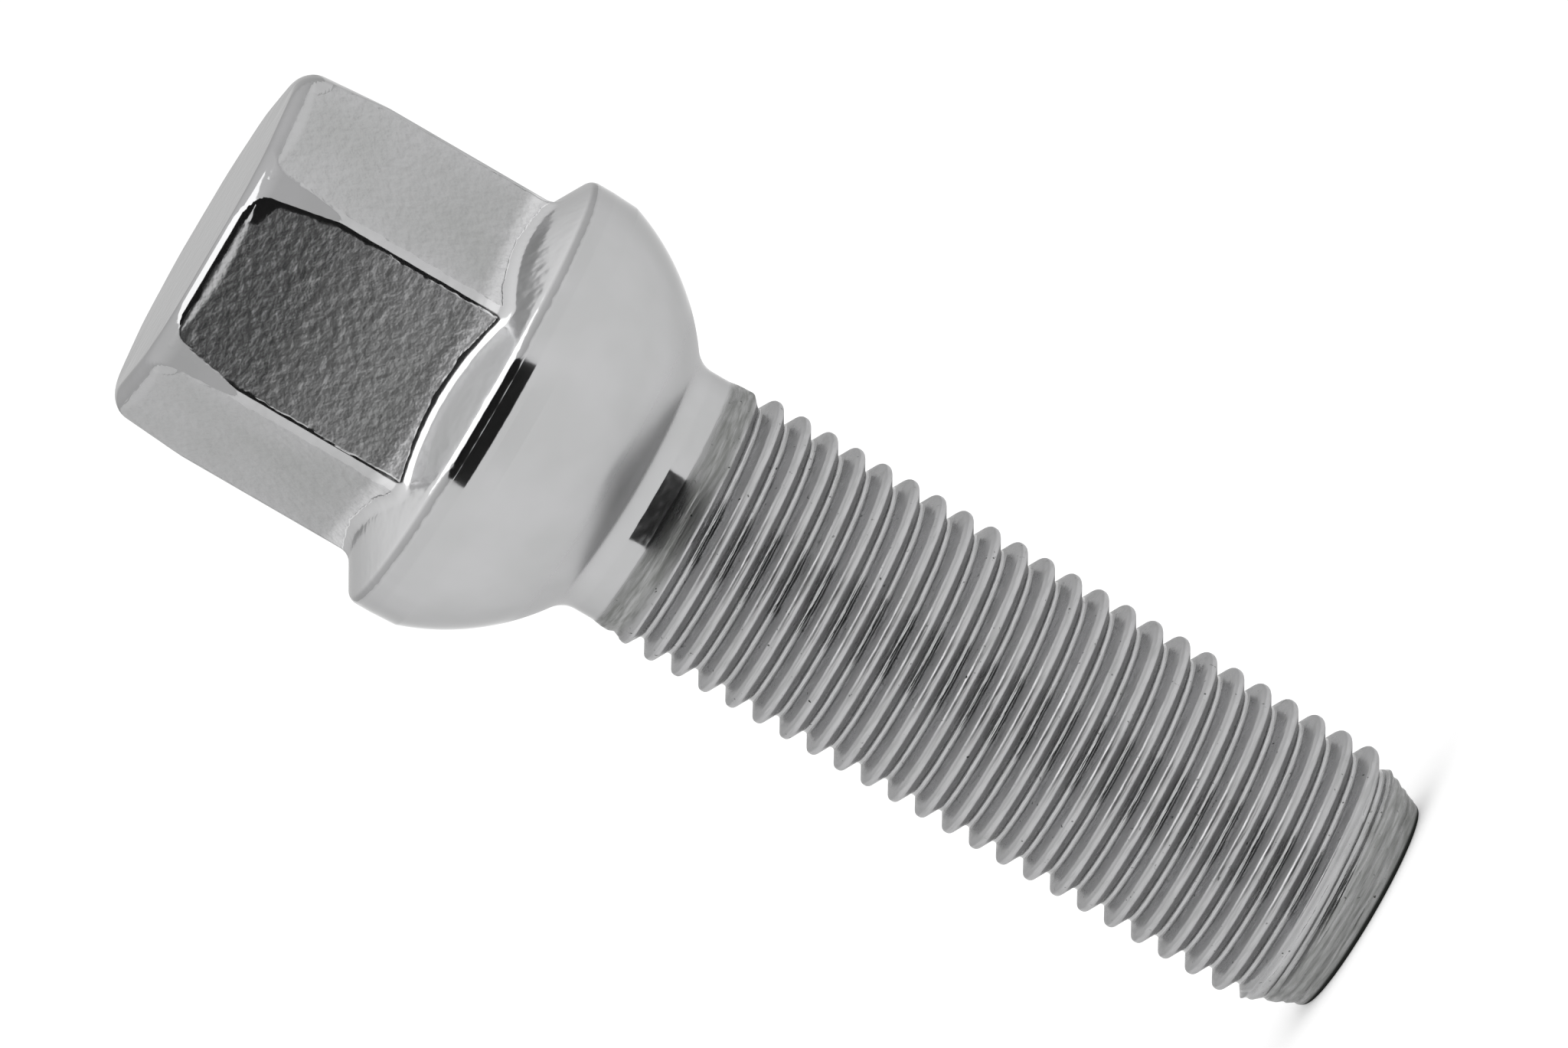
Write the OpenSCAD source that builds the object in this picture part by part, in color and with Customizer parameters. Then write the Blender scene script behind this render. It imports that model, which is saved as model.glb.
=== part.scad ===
// Wheel bolt with a hexagon head and a ball seat, cold forged in one piece.
// It stands on its threaded end: z = 0 is that end face, and +Z runs up the axis to the head.
// The threaded length is the plain cylinder that touches the thread's crests.

/* [Thread] */
// Diameter over the crests of the thread
thread_d = 13.9; // [8:0.1:22]
// Length of the threaded part, from the end face to the neck
thread_l = 38.4; // [10:0.1:80]
// Depth of the lead-in cone below the crests, at the end face
lead_in_depth = 1.55; // [0.4:0.05:3]
// Angle of the lead-in cone from the axis, in degrees
lead_in_angle = 24; // [15:1:45]
// Rounding between the end face and the lead-in cone
end_edge_r = 0.45; // [0.1:0.05:0.8]

/* [Neck] */
// Length of the plain neck, from the thread to the ball seat
neck_l = 2.2; // [1.5:0.1:12]
// Step from the crests of the thread down to the neck
neck_step = 0.42; // [0.2:0.01:1.5]
// Fillet between the neck and the ball seat
neck_fillet_r = 1.4; // [0.3:0.1:2]

/* [Ball seat] */
// Radius of the ball that the seat is part of
seat_r = 12.1; // [11.9:0.1:14]
// Diameter of the collar's rim
rim_d = 23.1; // [20:0.1:23.6]
// Height of the drafted band between the seat and the rim's land
rim_draft_h = 1.15; // [0.4:0.05:2]
// Draft of that band from the axis, in degrees
rim_draft_angle = 3; // [1:0.5:8]
// Height of the straight land on the rim
rim_land_h = 1.25; // [0.8:0.05:3]
// Rounding on the rim's upper edge
rim_edge_r = 0.45; // [0.1:0.05:0.6]
// Angle of the collar's upper cone from the axis, in degrees
collar_angle = 60; // [45:1:75]

/* [Head] */
// Size across the flats of the hexagon
across_flats = 17; // [14:0.5:19]
// Rounding on the six long edges of the hexagon
hex_edge_r = 0.8; // [0.2:0.1:1.5]
// Height of the head, from the collar's rim to the head's end face
head_h = 14.7; // [8:0.1:25]
// Rounding between each flat and the head's end face
flat_end_r = 0.65; // [0.2:0.05:1]
// Rounding of the crowned end over the corners
crown_r = 1.3; // [0.5:0.1:2]
// How far the crown's rounding starts inside the flats, at the end face
crown_inset = 0.4; // [0:0.1:1.5]
// Taper of the crown over the corners, from the axis, in degrees
crown_taper = 5; // [4:1:15]

/* [Hidden] */
$fn = 96;
// Shapes run this far into or past what they join or cut
overlap = 1;
// A corner's cutter is this many times the corner's own size
reach = 1.5;
// An arc is this much wider than it is drawn, so that it crosses the lines that it touches
hair = 0.0005;
bright_plating = [0.78, 0.78, 0.79];

crest_r = thread_d / 2;
end_face_r = crest_r - lead_in_depth;
lead_in_h = lead_in_depth / tan(lead_in_angle);
neck_r = crest_r - neck_step;
ball_z = thread_l + neck_l + sqrt(pow(seat_r, 2) - pow(neck_r, 2));
rim_r = rim_d / 2;
rim_draft = tan(rim_draft_angle);
seat_top_r = rim_r - rim_draft_h * rim_draft;
land_z = ball_z - sqrt(pow(seat_r, 2) - pow(seat_top_r, 2)) + rim_draft_h;
rim_top_z = land_z + rim_land_h;
head_end_z = rim_top_z + head_h;
flat_r = across_flats / 2;
corner_r = flat_r / cos(30);
crown_top_r = flat_r - crown_inset + crown_r / tan(45 + crown_taper / 2);
crown_foot_r = crown_top_r + head_h * tan(crown_taper);
collar_top_r = flat_r - hex_edge_r;
collar_top_z = rim_top_z + (rim_r - collar_top_r) / tan(collar_angle);
fillet_centre = [neck_r + neck_fillet_r,
                 ball_z - sqrt(pow(seat_r + neck_fillet_r, 2) - pow(neck_r + neck_fillet_r, 2))];
fillet_lean = atan2(ball_z - fillet_centre[1], fillet_centre[0]);
fillet_top = [seat_r * cos(fillet_lean), ball_z - seat_r * sin(fillet_lean)];

// Direction from one point to another, of length 1
function heading(from, to) = (to - from) / norm(to - from);

// What comes off a corner, between its neighbours before and after, to round it to radius r
module corner_cutter(before, corner, after, r) {
    sides = [heading(corner, before), heading(corner, after)];
    half_angle = acos(sides[0] * sides[1]) / 2;
    arc_centre = corner + heading([0, 0], sides[0] + sides[1]) * r / sin(half_angle);
    arc_ends = [for (side = sides) corner + side * r / tan(half_angle)];
    translate(arc_centre)
        difference() {
            polygon([[0, 0],
                     (arc_ends[0] - arc_centre) * reach,
                     (corner - arc_centre) * reach,
                     (arc_ends[1] - arc_centre) * reach]);
            circle(r = r + hair);
        }
}

// Closed outline whose corners are [x, y, r], each rounded off to its own radius r
module rounded_outline(corners) {
    n = len(corners);
    at = [for (c = corners) [c[0], c[1]]];
    difference() {
        polygon(at);
        for (i = [0 : n - 1])
            if (corners[i][2] > 0)
                corner_cutter(at[(i + n - 1) % n], at[i], at[(i + 1) % n], corners[i][2]);
    }
}

// Threaded length with its lead-in cone, and the neck above it
module shank_section() {
    rounded_outline([
        [0, 0, 0],
        [end_face_r, 0, end_edge_r],
        [crest_r, lead_in_h, 0],
        [crest_r, thread_l - neck_step, 0],
        [neck_r, thread_l, 0],
        [neck_r, ball_z, 0],
        [0, ball_z, 0]]);
}

// Ball seat, cut off by the drafted band, the rim and the cone that rises to the hexagon
module collar_section() {
    intersection() {
        translate([0, ball_z]) circle(r = seat_r);
        rounded_outline([
            [0, thread_l, 0],
            [rim_r - (land_z - thread_l) * rim_draft, thread_l, 0],
            [rim_r, land_z, 0],
            [rim_r, rim_top_z, rim_edge_r],
            [collar_top_r, collar_top_z, 0],
            [0, collar_top_z, 0]]);
    }
}

// Concave fillet between the neck and the ball
module neck_fillet_section() {
    difference() {
        polygon([
            [neck_r, fillet_centre[1]],
            fillet_centre,
            fillet_top,
            [neck_r - overlap, ball_z],
            [neck_r - overlap, fillet_centre[1]]]);
        translate(fillet_centre) circle(r = neck_fillet_r + hair);
    }
}

// Turned form of the whole bolt below the hexagon
module shank_and_collar() {
    rotate_extrude() {
        shank_section();
        collar_section();
        neck_fillet_section();
    }
}

// Hexagon with rounded corners, two of its flats facing along Y
module hexagon() {
    rounded_outline([for (i = [0 : 5])
        [corner_r * cos(60 * i), corner_r * sin(60 * i), hex_edge_r]]);
}

// Crowned blank that rounds the six corners off at the head's end
module crowned_blank() {
    rotate_extrude()
        rounded_outline([
            [0, rim_top_z, 0],
            [crown_foot_r, rim_top_z, 0],
            [crown_top_r, head_end_z, crown_r],
            [0, head_end_z, 0]]);
}

// What comes off one flat's upper edge to round it into the end face
module flat_end_cutter() {
    rotate([90, 0, 0])
        linear_extrude(height = across_flats, center = true)
            corner_cutter([flat_r, rim_top_z], [flat_r, head_end_z], [0, head_end_z], flat_end_r);
}

// Hexagon head, from inside the collar to the crowned end
module hexagon_head() {
    difference() {
        intersection() {
            translate([0, 0, rim_top_z - overlap])
                linear_extrude(height = head_h + 2 * overlap) hexagon();
            crowned_blank();
        }
        for (i = [0 : 5])
            rotate(60 * i + 30) flat_end_cutter();
    }
}

module wheel_bolt() {
    color(bright_plating) {
        shank_and_collar();
        hexagon_head();
    }
}

wheel_bolt();
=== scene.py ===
# A wheel bolt with a hexagon head and a ball seat, forged in one piece, thread-rolled and bright plated.
# It stands on its threaded end, and every size is in millimetres until the mesh is made.

import bpy
import math
import numpy as np
from mathutils import Matrix, Vector


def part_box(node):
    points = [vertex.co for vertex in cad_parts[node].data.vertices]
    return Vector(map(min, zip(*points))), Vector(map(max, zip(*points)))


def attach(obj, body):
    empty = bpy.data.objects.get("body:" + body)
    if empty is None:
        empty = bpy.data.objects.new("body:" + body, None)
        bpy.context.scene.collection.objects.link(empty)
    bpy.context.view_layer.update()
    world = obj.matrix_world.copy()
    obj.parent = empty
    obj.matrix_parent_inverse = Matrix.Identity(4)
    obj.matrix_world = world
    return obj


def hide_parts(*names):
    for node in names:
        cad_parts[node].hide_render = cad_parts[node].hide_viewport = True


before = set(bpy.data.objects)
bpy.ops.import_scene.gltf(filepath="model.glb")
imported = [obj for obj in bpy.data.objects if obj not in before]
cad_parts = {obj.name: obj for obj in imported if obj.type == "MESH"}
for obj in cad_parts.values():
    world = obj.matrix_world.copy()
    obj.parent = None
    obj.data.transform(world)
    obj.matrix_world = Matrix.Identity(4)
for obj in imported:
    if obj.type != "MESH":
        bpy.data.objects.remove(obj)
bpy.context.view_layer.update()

# Camera
# A long lens stands a little to the right of one flat of the hexagon and a few degrees above square to the
# bolt's axis. It is rolled until the head points up and to the left.
MM = 0.001
camera_azimuth = math.radians(6.3)
camera_elevation = math.radians(5.6)
camera_roll = math.radians(-59.86)
camera_distance = 1200 * MM
view_width = 74.7 * MM
aim_height = 33.25 * MM
aim_right = 1.97 * MM

towards_camera = Vector((
    math.sin(camera_azimuth) * math.cos(camera_elevation),
    -math.cos(camera_azimuth) * math.cos(camera_elevation),
    math.sin(camera_elevation)))
rightwards = Vector((math.cos(camera_azimuth), math.sin(camera_azimuth), 0))
camera_data = bpy.data.cameras.new("camera")
camera_data.sensor_width = 36
camera_data.lens = camera_data.sensor_width * camera_distance / view_width
camera_data.clip_start = 0.1
camera_data.clip_end = 20
camera = bpy.data.objects.new("camera", camera_data)
bpy.context.scene.collection.objects.link(camera)
aim = rightwards * aim_right + Vector((0, 0, aim_height))
camera_level = (-towards_camera).to_track_quat("-Z", "Y").to_matrix().to_4x4()
camera_stand = Matrix.Translation(aim + towards_camera * camera_distance)
camera.matrix_world = camera_stand @ camera_level @ Matrix.Rotation(camera_roll, 4, "Z")
bpy.context.scene.camera = camera

# Wheel bolt
# One steel forging: a hexagon head, a collar whose underside is part of a ball, a short neck and a shank
# with a rolled right-hand thread. It is zinc plated bright all over, and duller along the thread.
bolt_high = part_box("wheel_bolt")[1]
head_end = bolt_high[2] / MM
rim_radius = bolt_high[1] / MM

# Its turned form, from the threaded end up
end_face_radius = 5.4
end_edge_rounding = 0.45
lead_in_angle = math.radians(24)
neck_radius = 6.53
neck_fillet = 1.4
seat_foot = 40.6
seat_radius = 12.1
ball_height = seat_foot + math.sqrt(seat_radius ** 2 - neck_radius ** 2)
seat_edge_rounding = 0.1
rim_draft = math.radians(3)
rim_land_low = 48.26
rim_land_high = 49.39
rim_edge_rounding = 0.6
collar_angle = math.radians(60)

# Its hexagon
flat_distance = 8.5
hexagon_edge_rounding = 0.8
flat_end_rounding = 0.65
crown_rounding = 1.3
crown_inset = 0.4
crown_taper = math.radians(5)
crown_top = flat_distance - crown_inset + crown_rounding / math.tan(math.pi / 4 + crown_taper / 2)
crown_edge_softness = 0.5
lip_height = 0.045
lip_width = 0.5
lip_half_length = 3.9
lip_end_width = 0.05
hexagon_fillet = 0.8

# Its thread
pitch = 1.5
crest_radius = 6.88
root_radius = 6.1
crest_flat = 0.36
crest_rounding = 0.25
root_flat = 0.25
root_rounding = 0.15
crest_height = 0.364
crest_fade = (36.4, 38.0)
root_fade = (36.9, 38.1)
land_radius = 6.62
land_fade = (38.2, 39.0)
scored_depth = 0.09
scored_spacing = 0.54
scored_fade = (0.3, 0.6)
cone_blend = 0.06
flank_lean = math.radians(60)


def rounded_edge(one, other, radius, cosine):
    """Distance to the solid inside two surfaces, from the distances to both, with their edge rounded."""
    a = one + radius
    b = other + radius
    sine_squared = np.maximum(1 - cosine ** 2, 1e-6)
    between = (a > b * cosine) & (b > a * cosine) & (a + b > 0)
    across = np.sqrt(np.maximum(a * a + b * b - 2 * a * b * cosine, 0) / sine_squared)
    return np.where(between, across - radius, np.maximum(one, other))


def filleted_corner(one, other, radius, cosine):
    """Distance to the solid made of two joined ones, with a fillet where they meet."""
    return -rounded_edge(-one, -other, radius, cosine)


def side_turn(turn):
    """Turn at the middle of the flat that each point faces."""
    return np.radians(60 * np.floor(np.degrees(turn) / 60) + 30)


def hexagon_distance(r, turn):
    """Distance to the rounded hexagon, and the cosine between its nearest normal and the radius."""
    inner_flat = flat_distance - hexagon_edge_rounding
    off = turn - side_turn(turn)
    out = r * np.cos(off) - inner_flat
    past_corner = np.maximum(np.abs(r * np.sin(off)) - inner_flat * math.tan(math.radians(30)), 0)
    distance = np.where(past_corner > 0, np.hypot(out, past_corner), out) - hexagon_edge_rounding
    lean = np.where(past_corner > 0, np.arctan2(past_corner, out), 0)
    return distance, np.cos(np.abs(off) - lean)


def eased(z, low, high):
    """Rises smoothly from 0 at low to 1 at high."""
    share = np.clip((z - low) / (high - low), 0, 1)
    return share * share * (3 - 2 * share)


def head_distance(r, z, turn):
    """Distance to the head, the collar and the ball of the seat."""
    hexagon, side_cosine = hexagon_distance(r, turn)
    end = z - head_end
    lip_share = np.maximum(1 - (r * np.sin(turn - side_turn(turn)) / lip_half_length) ** 2, 0)
    lip_top = head_end - flat_end_rounding
    lip_low = lip_top - lip_width * lip_share - lip_end_width
    hexagon = hexagon - lip_height * lip_share * eased(z, lip_low, lip_top)
    crown = (r - crown_top) * math.cos(crown_taper) + end * math.sin(crown_taper)
    crown = rounded_edge(crown, end, crown_rounding, math.sin(crown_taper))
    hexagon = rounded_edge(hexagon, end, flat_end_rounding, 0)
    head = rounded_edge(hexagon, crown, crown_edge_softness, math.cos(crown_taper) * side_cosine)
    head = np.maximum(head, rim_land_high - z)
    cone = (r - rim_radius) * math.cos(collar_angle) + (z - rim_land_high) * math.sin(collar_angle)
    collar = rounded_edge(r - rim_radius, cone, rim_edge_rounding, math.cos(collar_angle))
    draft = (r - rim_radius) * math.cos(rim_draft) - (z - rim_land_low) * math.sin(rim_draft)
    ball = np.hypot(r, z - ball_height) - seat_radius
    seat_lean = math.acos(rim_radius / seat_radius)
    collar = rounded_edge(np.maximum(collar, draft), ball, seat_edge_rounding, math.cos(seat_lean))
    return filleted_corner(head, collar, hexagon_fillet, math.cos(collar_angle) * side_cosine)


def head_normals(r, z, turn):
    """Outward normals of the head's surface, from the slope of its distance."""
    step = 1e-4
    out = head_distance(r + step, z, turn) - head_distance(r - step, z, turn)
    up = head_distance(r, z + step, turn) - head_distance(r, z - step, turn)
    swing = step / r
    along = head_distance(r, z, turn + swing) - head_distance(r, z, turn - swing)
    return turned_vectors(out, along, up, turn)


def turned_vectors(out, along, up, turn):
    """Unit vectors from their parts along the radius, round the axis and up."""
    x = out * np.cos(turn) - along * np.sin(turn)
    y = out * np.sin(turn) + along * np.cos(turn)
    vectors = np.stack([x, y, up], axis=-1)
    return vectors / np.linalg.norm(vectors, axis=-1, keepdims=True)


def thread_shape():
    """Half a pitch of the thread: distances from the crest's middle, and depths as shares of the whole."""
    depth = crest_radius - root_radius
    crest_end = crest_flat / 2 - crest_rounding * math.tan(flank_lean / 2)
    root_end = pitch / 2 - root_flat / 2 + root_rounding * math.tan(flank_lean / 2)
    arc = np.linspace(0, flank_lean, 25)
    over_crest = crest_end + crest_rounding * np.sin(arc)
    over_root = root_end - root_rounding * np.sin(arc[::-1])
    down_crest = crest_rounding * (1 - np.cos(arc))
    down_root = depth - root_rounding * (1 - np.cos(arc[::-1]))
    return np.concatenate([over_crest, over_root]), np.concatenate([down_crest, down_root]) / depth


def shank_radius(z, turn):
    """Radius of the shank: the thread, its run-out at the neck and its fading turns on the lead-in cone."""
    from_crest = (z - crest_height - pitch * turn / (2 * math.pi)) / pitch
    from_crest = np.abs(from_crest - np.round(from_crest)) * pitch
    over, down = thread_shape()
    depth = np.interp(from_crest, over, down, left=0, right=1)
    land = land_radius + (neck_radius - land_radius) * eased(z, *land_fade)
    crest = crest_radius + (land - crest_radius) * eased(z, *crest_fade)
    root = root_radius + (land - root_radius) * eased(z, *root_fade)
    threaded = crest + (root - crest) * depth
    cone = end_face_radius + z * math.tan(lead_in_angle)
    between = np.clip(0.5 + (cone - threaded) / (2 * cone_blend), 0, 1)
    scored = scored_depth * (0.5 - 0.5 * np.cos(2 * math.pi * z / scored_spacing - turn))
    scored = scored * eased(z, *scored_fade) * (1 - between)
    return cone + (threaded - cone) * between - cone_blend * between * (1 - between) - scored


def shank_normals(z, turn):
    """Outward normals of the shank, from the slope of its radius."""
    step = 1e-4
    rise = (shank_radius(z + step, turn) - shank_radius(z - step, turn)) / (2 * step)
    swing = (shank_radius(z, turn + step) - shank_radius(z, turn - step)) / (2 * step)
    return turned_vectors(np.ones_like(rise), -swing / shank_radius(z, turn), -rise, turn)


points = []
normals = []
faces = []


def add_ring(r, z, turn, ring_normals):
    """Adds one ring of points and returns their numbers."""
    first = sum(len(p) for p in points)
    points.append(np.stack([r * np.cos(turn), r * np.sin(turn), z], axis=-1))
    normals.append(ring_normals)
    return list(range(first, first + len(turn)))


def join_rings(lower, upper):
    """Faces between two rings with as many points."""
    n = len(lower)
    for i in range(n):
        j = (i + 1) % n
        faces.append((lower[i], lower[j], upper[j], upper[i]))


def zip_rings(lower, lower_turn, upper, upper_turn):
    """Triangles between two rings whose points stand at different turns."""
    n, m = len(lower), len(upper)
    a = b = 0
    full = 2 * math.pi
    while a < n or b < m:
        next_lower = lower_turn[(a + 1) % n] + full * ((a + 1) // n)
        next_upper = upper_turn[(b + 1) % m] + full * ((b + 1) // m)
        if b == m or (a < n and next_lower <= next_upper):
            faces.append((lower[a % n], lower[(a + 1) % n], upper[b % m]))
            a += 1
        else:
            faces.append((lower[a % n], upper[(b + 1) % m], upper[b % m]))
            b += 1


# Columns of points on the shank stand evenly round it
shank_columns = 144
shank_turn = np.arange(shank_columns) * 2 * math.pi / shank_columns
down = np.tile([0.0, 0.0, -1.0], (shank_columns, 1))

# Flat end face, its rounded edge and the plain foot of the lead-in cone
edge_corner = end_edge_rounding / math.tan(math.pi / 4 + lead_in_angle / 2)
edge_centre = end_face_radius - edge_corner
tip_centre = len(points)
points.append(np.array([[0.0, 0.0, 0.0]]))
normals.append(np.array([[0.0, 0.0, -1.0]]))
ring = None
for share in (0.25, 0.5, 0.75, 0.95):
    r = np.full(shank_columns, edge_centre * share)
    new_ring = add_ring(r, np.zeros(shank_columns), shank_turn, down)
    if ring is None:
        for i in range(shank_columns):
            faces.append((tip_centre, new_ring[(i + 1) % shank_columns], new_ring[i]))
    else:
        join_rings(ring, new_ring)
    ring = new_ring
for lean in np.linspace(-math.pi / 2, -lead_in_angle, 7):
    r = edge_centre + end_edge_rounding * math.cos(lean)
    z = end_edge_rounding * (1 + math.sin(lean))
    flat = np.full(shank_columns, math.cos(lean))
    ring_normals = turned_vectors(flat, 0 * flat, np.full(shank_columns, math.sin(lean)), shank_turn)
    new_ring = add_ring(np.full(shank_columns, r), np.full(shank_columns, z), shank_turn, ring_normals)
    join_rings(ring, new_ring)
    ring = new_ring
cone_low = 0.3
thread_low = 0.36
for z in (cone_low, thread_low):
    level = np.full(shank_columns, z)
    new_ring = add_ring(shank_radius(level, shank_turn), level, shank_turn, shank_normals(level, shank_turn))
    join_rings(ring, new_ring)
    ring = new_ring
foot_ring = ring

# Thread: rows of points follow the helix, at the rounded crest and at the rounded root
thread_high = 39.0
row_clearance = 0.02
turns_below = 2
turns_above = 30
crest_end = crest_flat / 2 - crest_rounding * math.tan(flank_lean / 2)
root_end = root_flat / 2 - root_rounding * math.tan(flank_lean / 2)
crest_rows = [crest_end + crest_rounding * math.sin(math.radians(a)) for a in (0, 20, 40, 60)]
root_rows = [root_end + root_rounding * math.sin(math.radians(a)) for a in (0, 30, 60)]
rows = [-x for x in reversed(crest_rows)] + crest_rows
rows += [pitch / 2 - x for x in reversed(root_rows)] + [pitch / 2 + x for x in root_rows]
rows_per_pitch = len(rows)
column_points = []
for i in range(shank_columns):
    low_crest = crest_height + pitch * i / shank_columns
    kept = {}
    for k in range(-turns_below * rows_per_pitch, turns_above * rows_per_pitch):
        z = low_crest + pitch * (k // rows_per_pitch) + rows[k % rows_per_pitch]
        if thread_low + row_clearance < z < thread_high - row_clearance:
            kept[k] = z
    column_points.append(kept)
row_numbers = []
first = sum(len(p) for p in points)
for i, kept in enumerate(column_points):
    z = np.array(list(kept.values()))
    turn = np.full(len(z), shank_turn[i])
    r = shank_radius(z, turn)
    points.append(np.stack([r * np.cos(turn), r * np.sin(turn), z], axis=-1))
    normals.append(shank_normals(z, turn))
    row_numbers.append({k: first + n for n, k in enumerate(kept)})
    first += len(z)
level = np.full(shank_columns, thread_high)
neck_ring = add_ring(shank_radius(level, shank_turn), level, shank_turn, shank_normals(level, shank_turn))
for i in range(shank_columns):
    j = (i + 1) % shank_columns
    here = row_numbers[i]
    # Past the last column a row goes on as the row one pitch further up
    shift = rows_per_pitch if j == 0 else 0
    there = {k - shift: v for k, v in row_numbers[j].items()}
    low = max(min(here), min(there))
    high = min(max(here), max(there))
    for k in range(low, high):
        faces.append((here[k], there[k], there[k + 1], here[k + 1]))
    foot = [there[k] for k in range(min(there), low + 1)] + [here[k] for k in range(low, min(here) - 1, -1)]
    faces.append((foot_ring[i], foot_ring[j], *foot))
    top = [here[k] for k in range(max(here), high - 1, -1)] + [there[k] for k in range(high, max(there) + 1)]
    faces.append((neck_ring[j], neck_ring[i], *top))

# Columns of points on the head stand closer together at the hexagon's six corners
side_steps = [0, 0.5, 1, 1.5, 2, 2.5, 3, 3.7, 4.5, 5.5, 6.6, 8, 9.6, 11.5, 14, 17, 20.5, 24.5]
side_steps = side_steps + [30] + [60 - x for x in reversed(side_steps[1:])]
head_turn = np.radians([60 * side + x for side in range(6) for x in side_steps])
head_columns = len(head_turn)
fillet_out = neck_radius + neck_fillet
fillet_low = ball_height - math.sqrt((seat_radius + neck_fillet) ** 2 - fillet_out ** 2)
fillet_lean = math.atan2(ball_height - fillet_low, fillet_out)

ring = None
ones = np.ones(head_columns)
outward = turned_vectors(ones, 0 * ones, 0 * ones, head_turn)
for z in (thread_high + 0.25, (thread_high + fillet_low) / 2, fillet_low):
    new_ring = add_ring(neck_radius * ones, z * ones, head_turn, outward)
    if ring is None:
        zip_rings(neck_ring, shank_turn, new_ring, head_turn)
    else:
        join_rings(ring, new_ring)
    ring = new_ring
for lean in np.linspace(0, fillet_lean, 8)[1:]:
    r = fillet_out - neck_fillet * math.cos(lean)
    z = fillet_low + neck_fillet * math.sin(lean)
    ring_normals = turned_vectors(math.cos(lean) * ones, 0 * ones, -math.sin(lean) * ones, head_turn)
    new_ring = add_ring(r * ones, z * ones, head_turn, ring_normals)
    join_rings(ring, new_ring)
    ring = new_ring

# Each further ring is where rays from a circle round the axis, leaning up or down, leave the head.
# Level rays stand closest at the seat's edge, the rim's rounding, the hexagon's fillet and the head's end.
rays = []
seat_top = 46.85
seat_top_lean = math.asin((ball_height - seat_top) / seat_radius)
for lean in np.linspace(fillet_lean, seat_top_lean, 26)[1:]:
    rays.append((0, ball_height, -lean))
fan_height = 62.8
fan_radius = 7.0
level_heights = [46.9, 46.94, 46.98, 47.02, 47.06, 47.12, 47.5, 47.9, 48.2, 48.3, 48.6, 48.9, 49.12]
level_heights += list(np.arange(49.17, 49.56, 0.04))
level_heights += [49.7, 49.95, 50.2]
level_heights += list(np.arange(50.3, 52.3, 0.065))
level_heights += list(np.arange(52.6, 59.5, 0.8))
level_heights += list(np.arange(59.4, fan_height, 0.12))
for z in level_heights:
    rays.append((0, z, 0))
for lean in np.radians(np.arange(0, 90.1, 3)):
    rays.append((fan_radius, fan_height, lean))
origin_r, origin_z, lean = (np.array(x)[:, None] for x in zip(*rays))
turn = np.broadcast_to(head_turn, (len(rays), head_columns))
longest_ray = 14.0
halvings = 40
inside = np.zeros(turn.shape)
outside = np.full(turn.shape, longest_ray)
for halving in range(halvings):
    middle = (inside + outside) / 2
    within = head_distance(origin_r + middle * np.cos(lean), origin_z + middle * np.sin(lean), turn) < 0
    inside = np.where(within, middle, inside)
    outside = np.where(within, outside, middle)
reach = (inside + outside) / 2
ray_r = origin_r + reach * np.cos(lean)
ray_z = origin_z + reach * np.sin(lean)
ray_normals = head_normals(ray_r, ray_z, turn)
for row in range(len(rays)):
    new_ring = add_ring(ray_r[row], ray_z[row], head_turn, ray_normals[row])
    join_rings(ring, new_ring)
    ring = new_ring
up = np.tile([0.0, 0.0, 1.0], (head_columns, 1))
for share in (0.75, 0.5, 0.25):
    new_ring = add_ring(fan_radius * share * ones, head_end * ones, head_turn, up)
    join_rings(ring, new_ring)
    ring = new_ring
end_centre = sum(len(p) for p in points)
points.append(np.array([[0.0, 0.0, head_end]]))
normals.append(np.array([[0.0, 0.0, 1.0]]))
for i in range(head_columns):
    faces.append((ring[i], ring[(i + 1) % head_columns], end_centre))

bolt_mesh = bpy.data.meshes.new("plated_bolt")
all_points = np.concatenate(points)
bolt_mesh.from_pydata((all_points * MM).tolist(), [], faces)
bolt_mesh.polygons.foreach_set("use_smooth", [True] * len(bolt_mesh.polygons))
bolt_mesh.normals_split_custom_set_from_vertices(np.concatenate(normals).tolist())
bolt = bpy.data.objects.new("plated_bolt", bolt_mesh)
bpy.context.scene.collection.objects.link(bolt)


def mark_points(name, values):
    """Keeps one value from 0 to 1 for each point of the mesh, for the finish to read."""
    mark = bolt_mesh.attributes.new(name, "FLOAT", "POINT")
    mark.data.foreach_set("value", np.clip(values, 0, 1).astype(np.float32))


# How far each point lies inside the border of its flat, and from the flat's most polished corner
point_r = np.hypot(all_points[:, 0], all_points[:, 1])
point_turn = np.arctan2(all_points[:, 1], all_points[:, 0])
point_z = all_points[:, 2]
across = point_r * np.sin(point_turn - side_turn(point_turn))
half_flat = (flat_distance - hexagon_edge_rounding) * math.tan(math.radians(30))
from_crown = (crown_top - point_r) * math.cos(crown_taper) + (head_end - point_z) * math.sin(crown_taper)
from_cone = (point_r - rim_radius) * math.cos(collar_angle)
from_cone = from_cone + (point_z - rim_land_high) * math.sin(collar_angle)
polished_crown = 0.1
polished_foot = 0.45 * hexagon_fillet
cone_slope = 0.83
corner_stretch = 1.7
corner_reach = 1.15
inside_border = np.minimum(half_flat - np.abs(across), head_end - flat_end_rounding - point_z)
inside_border = np.minimum(inside_border, from_crown - polished_crown)
inside_border = np.minimum(inside_border, (from_cone - polished_foot) / cone_slope)
corner_away = np.hypot((across - half_flat) / corner_stretch, point_z - (head_end - flat_end_rounding))
inside_border = np.minimum(inside_border, corner_away - corner_reach)

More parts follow.
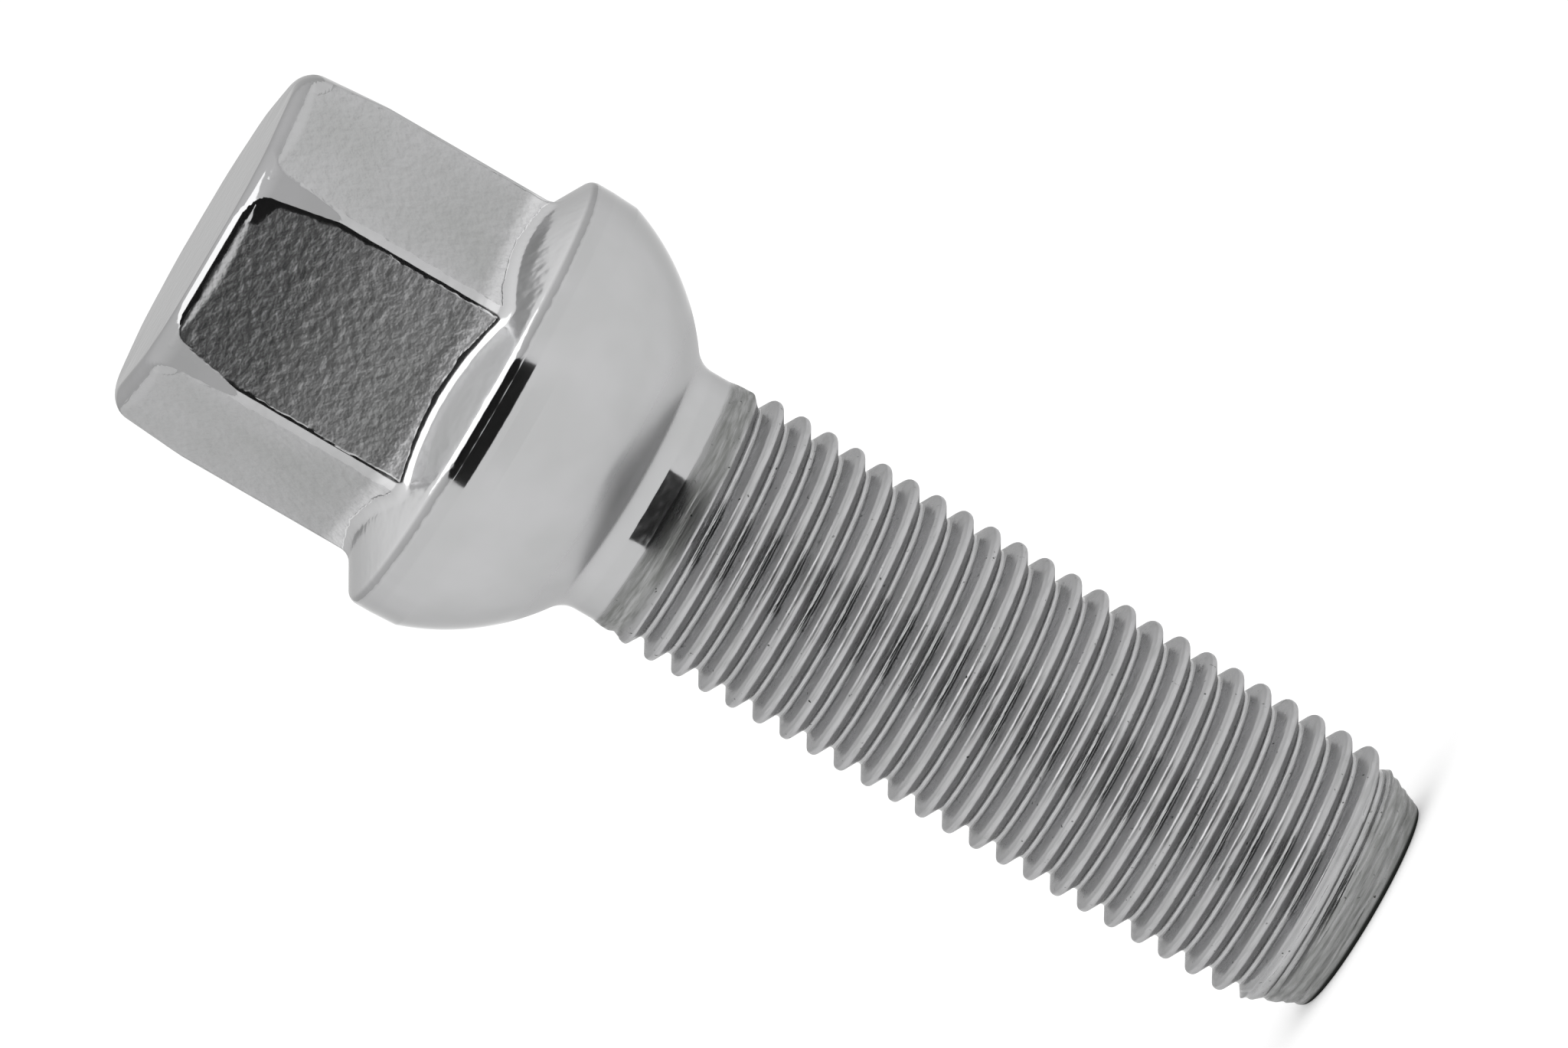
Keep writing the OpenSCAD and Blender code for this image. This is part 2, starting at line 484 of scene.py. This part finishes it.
# Where each finish lies: most marks rise and fall over heights along the axis, in millimetres
peel_over_border = 0.12
peel_rise = 0.2
dull_rise = 1.5
mark_points("orange_peel", (inside_border + peel_over_border) / peel_rise)
mark_points("dull_flat", inside_border / dull_rise)
mark_points("foot_of_flat", eased(-point_z, -61.5, -52.5))
mark_points("rolled", eased(-point_z, -39.1, -38.4))
mark_points("crest", eased(point_r, 6.5, 6.75) * eased(-point_z, -38.5, -37.5))
waved = 0.2 * eased(point_z, 48.0, 48.3) + 0.8 * eased(point_z, 48.9, 49.2)
waved = waved * (1 - 0.5 * eased(point_z, 51.5, 52.5))
waved = waved + 0.35 * eased(point_z, 38.7, 39.0) * (1 - eased(point_z, 40.3, 40.9))
mark_points("waved", waved)
mark_points("drawn", eased(point_z, 40.2, 41.0) * (1 - eased(point_z, 42.0, 43.0)))
# Both ends of the thread, the run-out by the neck and the first turns at the tip, are darker in streaks and
# a little rougher
run_out = eased(point_z, 37.2, 37.7) * (1 - eased(point_z, 38.7, 38.95))
mark_points("thread_ends", 0.8 * run_out + 0.7 * (1 - eased(point_z, 1.6, 2.8)))
# Painted shade: the end edge is marked to be painted black, standing in for the shaded floor that it
# reflects
mark_points("end_edge", 1 - eased(point_z, 0.2, 0.32))
# The collar mark adds a little roughness and a painted highlight: the upper cone is painted paler to stand
# in for reflected light
mark_points("collar", eased(point_z, 49.3, 49.5) * (1 - eased(point_z, 51.3, 52.3)))

plating = bpy.data.materials.new("bright_zinc_plating")
plating.use_nodes = True
shader = plating.node_tree.nodes["Principled BSDF"]
nodes = plating.node_tree.nodes
links = plating.node_tree.links
shader.inputs["Specular IOR Level"].default_value = 0
shader.inputs["Specular Tint"].default_value = (0.66, 0.66, 0.66, 1)
place = nodes.new("ShaderNodeTexCoord")


def plating_mark(name):
    """A mark kept on the mesh."""
    mark = nodes.new("ShaderNodeAttribute")
    mark.attribute_name = name
    return mark.outputs["Fac"]


def plating_math(operation, one, other):
    """One step of arithmetic in the plating's finish, on links or plain numbers."""
    step = nodes.new("ShaderNodeMath")
    step.operation = operation
    for socket, value in zip(step.inputs, (one, other)):
        if isinstance(value, (int, float)):
            socket.default_value = value
        else:
            links.new(value, socket)
    return step.outputs[0]


def plating_noise(scale, detail, stretch=(1, 1, 1)):
    """A cloudy pattern through the metal, stretched along the axes."""
    stretched = nodes.new("ShaderNodeMapping")
    stretched.inputs["Scale"].default_value = stretch
    links.new(place.outputs["Object"], stretched.inputs["Vector"])
    pattern = nodes.new("ShaderNodeTexNoise")
    pattern.inputs["Scale"].default_value = scale
    pattern.inputs["Detail"].default_value = detail
    links.new(stretched.outputs[0], pattern.inputs["Vector"])
    return pattern.outputs["Fac"]


def plating_mix(under, over, share):
    """One colour of the plating laid over another by a share."""
    mix = nodes.new("ShaderNodeMix")
    mix.data_type = "RGBA"
    mix.inputs["B"].default_value = over
    if isinstance(under, tuple):
        mix.inputs["A"].default_value = under
    else:
        links.new(under, mix.inputs["A"])
    links.new(share, mix.inputs["Factor"])
    return mix.outputs["Result"]


def plating_range(value, low, high, to_low, to_high):
    """Carries a value from one range to another, held at both ends."""
    carried = nodes.new("ShaderNodeMapRange")
    links.new(value, carried.inputs["Value"])
    carried.inputs["From Min"].default_value = low
    carried.inputs["From Max"].default_value = high
    carried.inputs["To Min"].default_value = to_low
    carried.inputs["To Max"].default_value = to_high
    return carried.outputs[0]


peel = plating_mark("orange_peel")
rolled = plating_mark("rolled")
thread_ends = plating_mark("thread_ends")
collar = plating_mark("collar")
dimples = plating_noise(2300, 2)
waves = plating_noise(1300, 1)
clouds = plating_noise(900, 2)
broad = plating_noise(300, 2)
streaks = plating_noise(700, 3, (1, 1, 9))
specks = plating_noise(4200, 1)

# Roughness: polished borders and duller flats, a thread that is duller in streaks and on its crests,
# and a little more of it on the drawn neck, the collar's upper cone and both ends of the thread
flat_share = plating_math("ADD", peel, plating_range(clouds, 0.3, 0.7, -0.5, 0.5))
flat_share = plating_range(flat_share, 0.1, 0.5, 0, 1)
flat_share = plating_math("MULTIPLY", flat_share, plating_range(peel, 0, 0.3, 0, 1))
foot_of_flat = plating_mark("foot_of_flat")
flat_roughness = plating_range(foot_of_flat, 0, 1, 0.16, 0.27)
thread_roughness = plating_range(streaks, 0.35, 0.65, 0.06, 0.2)
polished_roughness = 0.09
rougher_places = [
    (rolled, thread_roughness),
    (plating_mark("crest"), 0.15),
    (plating_mark("drawn"), 0.2),
    (collar, 0.08),
    (thread_ends, 0.15)]
roughness = plating_math("ADD", plating_math("MULTIPLY", flat_share, flat_roughness), polished_roughness)
for rougher_place, added in rougher_places:
    roughness = plating_math("ADD", roughness, plating_math("MULTIPLY", rougher_place, added))
links.new(roughness, shader.inputs["Roughness"])

# Colour: bright zinc, duller inside the flats and along the thread, a painted highlight on the collar's
# upper cone, darker in streaks at both ends of the thread, with dark specks in the thread and painted shade
# on the end edge
zinc_colour = (0.45, 0.45, 0.455, 1)
dull_colour = (0.36, 0.365, 0.36, 1)
# Painted highlight: this paler colour on the collar's upper cone stands in for reflected light
painted_collar_highlight_colour = (0.66, 0.66, 0.665, 1)
thread_end_colour = (0.17, 0.175, 0.165, 1)
# Dark specks in the thread, and painted shade on the end edge, share this colour
speck_and_edge_shade_colour = (0.04, 0.043, 0.04, 1)
duller = plating_math("MULTIPLY", rolled, plating_range(streaks, 0.3, 0.7, -0.5, 0.2))
duller = plating_math("ADD", duller, plating_math("MULTIPLY", plating_mark("dull_flat"), 0.45))
duller = plating_math("ADD", duller, plating_range(broad, 0.35, 0.65, 0, 0.3))
darker_thread_ends = plating_math("MULTIPLY", thread_ends, plating_range(streaks, 0.35, 0.65, 0.5, 1))
specks_and_edge_shade = plating_range(specks, 0.7, 0.77, 0, 1)
specks_and_edge_shade = plating_math("MULTIPLY", specks_and_edge_shade, plating_range(clouds, 0.45, 0.6, 0, 1))
specks_and_edge_shade = plating_math("MULTIPLY", specks_and_edge_shade, rolled)
# Painted shade: the end edge turns black and loses its metal, merged with the dark specks
end_edge = plating_mark("end_edge")
specks_and_edge_shade = plating_math("MAXIMUM", specks_and_edge_shade, end_edge)
links.new(plating_math("SUBTRACT", 1, end_edge), shader.inputs["Metallic"])
colour = plating_mix(zinc_colour, dull_colour, duller)
# Painted highlight on the collar's upper cone
colour = plating_mix(colour, painted_collar_highlight_colour, collar)
colour = plating_mix(colour, thread_end_colour, darker_thread_ends)
colour = plating_mix(colour, speck_and_edge_shade_colour, specks_and_edge_shade)
links.new(colour, shader.inputs["Base Color"])

# Relief: orange peel on the flats, a slight wave on the head and fine rolling marks along the thread
peel_height = plating_math("MULTIPLY", dimples, plating_math("MULTIPLY", flat_share, 2))
peel_height = plating_math("MULTIPLY", peel_height, plating_range(foot_of_flat, 0, 1, 0.75, 1.3))
peel_height = plating_math("ADD", peel_height, waves)
peel_height = plating_math("MULTIPLY", peel_height, plating_mark("waved"))
rolling = plating_math("MULTIPLY", plating_math("MULTIPLY", streaks, rolled), 0.8)
relief = plating_math("ADD", peel_height, rolling)
relief_height = 0.03 * MM
bump = nodes.new("ShaderNodeBump")
bump.inputs["Distance"].default_value = relief_height
bump.inputs["Strength"].default_value = 1
links.new(relief, bump.inputs["Height"])
links.new(bump.outputs[0], shader.inputs["Normal"])
bolt_mesh.materials.append(plating)
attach(bolt, "root")
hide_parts("wheel_bolt")

# Floor
# A plain white sheet that the bolt stands on. It shows white to the camera and in the plating, and it
# keeps the bolt's shadow.
floor_half = 4.0
floor_colour = (0.7, 0.7, 0.7, 1)
floor_glow = 0.36
floor_mesh = bpy.data.meshes.new("floor")
floor_corners = [(-floor_half, -floor_half, 0), (floor_half, -floor_half, 0)]
floor_corners += [(floor_half, floor_half, 0), (-floor_half, floor_half, 0)]
floor_mesh.from_pydata(floor_corners, [], [(0, 1, 2, 3)])
floor = bpy.data.objects.new("floor", floor_mesh)
bpy.context.scene.collection.objects.link(floor)
floor_paint = bpy.data.materials.new("white_floor")
floor_paint.use_nodes = True
nodes = floor_paint.node_tree.nodes
links = floor_paint.node_tree.links
nodes.clear()
paint = nodes.new("ShaderNodeBsdfDiffuse")
paint.inputs["Color"].default_value = floor_colour
glow = nodes.new("ShaderNodeEmission")
seen = nodes.new("ShaderNodeLightPath")
camera_or_glossy = nodes.new("ShaderNodeMath")
camera_or_glossy.operation = "MAXIMUM"
or_through = nodes.new("ShaderNodeMath")
or_through.operation = "MAXIMUM"
glow_strength = nodes.new("ShaderNodeMath")
glow_strength.operation = "MULTIPLY"
glow_strength.inputs[1].default_value = floor_glow
both = nodes.new("ShaderNodeAddShader")
floor_out = nodes.new("ShaderNodeOutputMaterial")
links.new(seen.outputs["Is Camera Ray"], camera_or_glossy.inputs[0])
links.new(seen.outputs["Is Glossy Ray"], camera_or_glossy.inputs[1])
links.new(camera_or_glossy.outputs[0], or_through.inputs[0])
links.new(seen.outputs["Is Transmission Ray"], or_through.inputs[1])
links.new(or_through.outputs[0], glow_strength.inputs[0])
links.new(glow_strength.outputs[0], glow.inputs["Strength"])
links.new(paint.outputs[0], both.inputs[0])
links.new(glow.outputs[0], both.inputs[1])
links.new(both.outputs[0], floor_out.inputs["Surface"])
floor_mesh.materials.append(floor_paint)

# Dark card
# A card of black felt stands on the floor in front of the bolt. It shows only as a dark reflection in the
# plating: the camera doesn't see it, and it throws no shadow.
card_distance = 0.3
card_left = -0.212
card_right = 0.187
card_top = 0.36
card_corners = [(card_left, 0), (card_right, 0), (card_right, card_top), (card_left, card_top)]
card_mesh = bpy.data.meshes.new("dark_card")
card_mesh.from_pydata([(x, -card_distance, z) for x, z in card_corners], [], [(0, 1, 2, 3)])
card = bpy.data.objects.new("dark_card", card_mesh)
bpy.context.scene.collection.objects.link(card)
card_paint = bpy.data.materials.new("black_card")
card_paint.use_nodes = True
felt = card_paint.node_tree.nodes["Principled BSDF"]
felt.inputs["Base Color"].default_value = (0.02, 0.02, 0.02, 1)
felt.inputs["Roughness"].default_value = 1
felt.inputs["Specular IOR Level"].default_value = 0
card_mesh.materials.append(card_paint)
card.visible_camera = False
card.visible_diffuse = False
card.visible_shadow = False
card.visible_transmission = False

# Light
# A pale tent stands all round, dimmer near the floor, and a soft lamp hangs over the bolt.
tent_height = 0.7
tent_foot_light = 0.76
tent_top_light = 0.95
world = bpy.data.worlds.new("tent")
world.use_nodes = True
world_nodes = world.node_tree.nodes
world_links = world.node_tree.links
tent_place = world_nodes.new("ShaderNodeTexCoord")
tent_direction = world_nodes.new("ShaderNodeSeparateXYZ")
tent_wall = world_nodes.new("ShaderNodeMapRange")
tent_wall.inputs["From Min"].default_value = 0.0
tent_wall.inputs["From Max"].default_value = tent_height
tent_wall.inputs["To Min"].default_value = tent_foot_light
tent_wall.inputs["To Max"].default_value = tent_top_light
world_links.new(tent_place.outputs["Generated"], tent_direction.inputs[0])
world_links.new(tent_direction.outputs["Z"], tent_wall.inputs["Value"])
world_links.new(tent_wall.outputs[0], world_nodes["Background"].inputs["Color"])
world_nodes["Background"].inputs["Strength"].default_value = 1.0
bpy.context.scene.world = world

lamp_elevation = math.radians(75)
lamp_distance = 1000 * MM
lamp_width = 1000 * MM
lamp_height = 1000 * MM
lamp_brightness = 1.25
lamp_data = bpy.data.lights.new("soft_lamp", "AREA")
lamp_data.shape = "RECTANGLE"
lamp_data.size = lamp_width
lamp_data.size_y = lamp_height
lamp_data.energy = lamp_brightness * math.pi * lamp_width * lamp_height
lamp = bpy.data.objects.new("soft_lamp", lamp_data)
bpy.context.scene.collection.objects.link(lamp)
towards_lamp = Vector((0, -math.cos(lamp_elevation), math.sin(lamp_elevation)))
lamp.location = aim + towards_lamp * lamp_distance
lamp.rotation_euler = (-towards_lamp).to_track_quat("-Z", "Y").to_euler()
bpy.context.scene.view_settings.view_transform = "Standard"
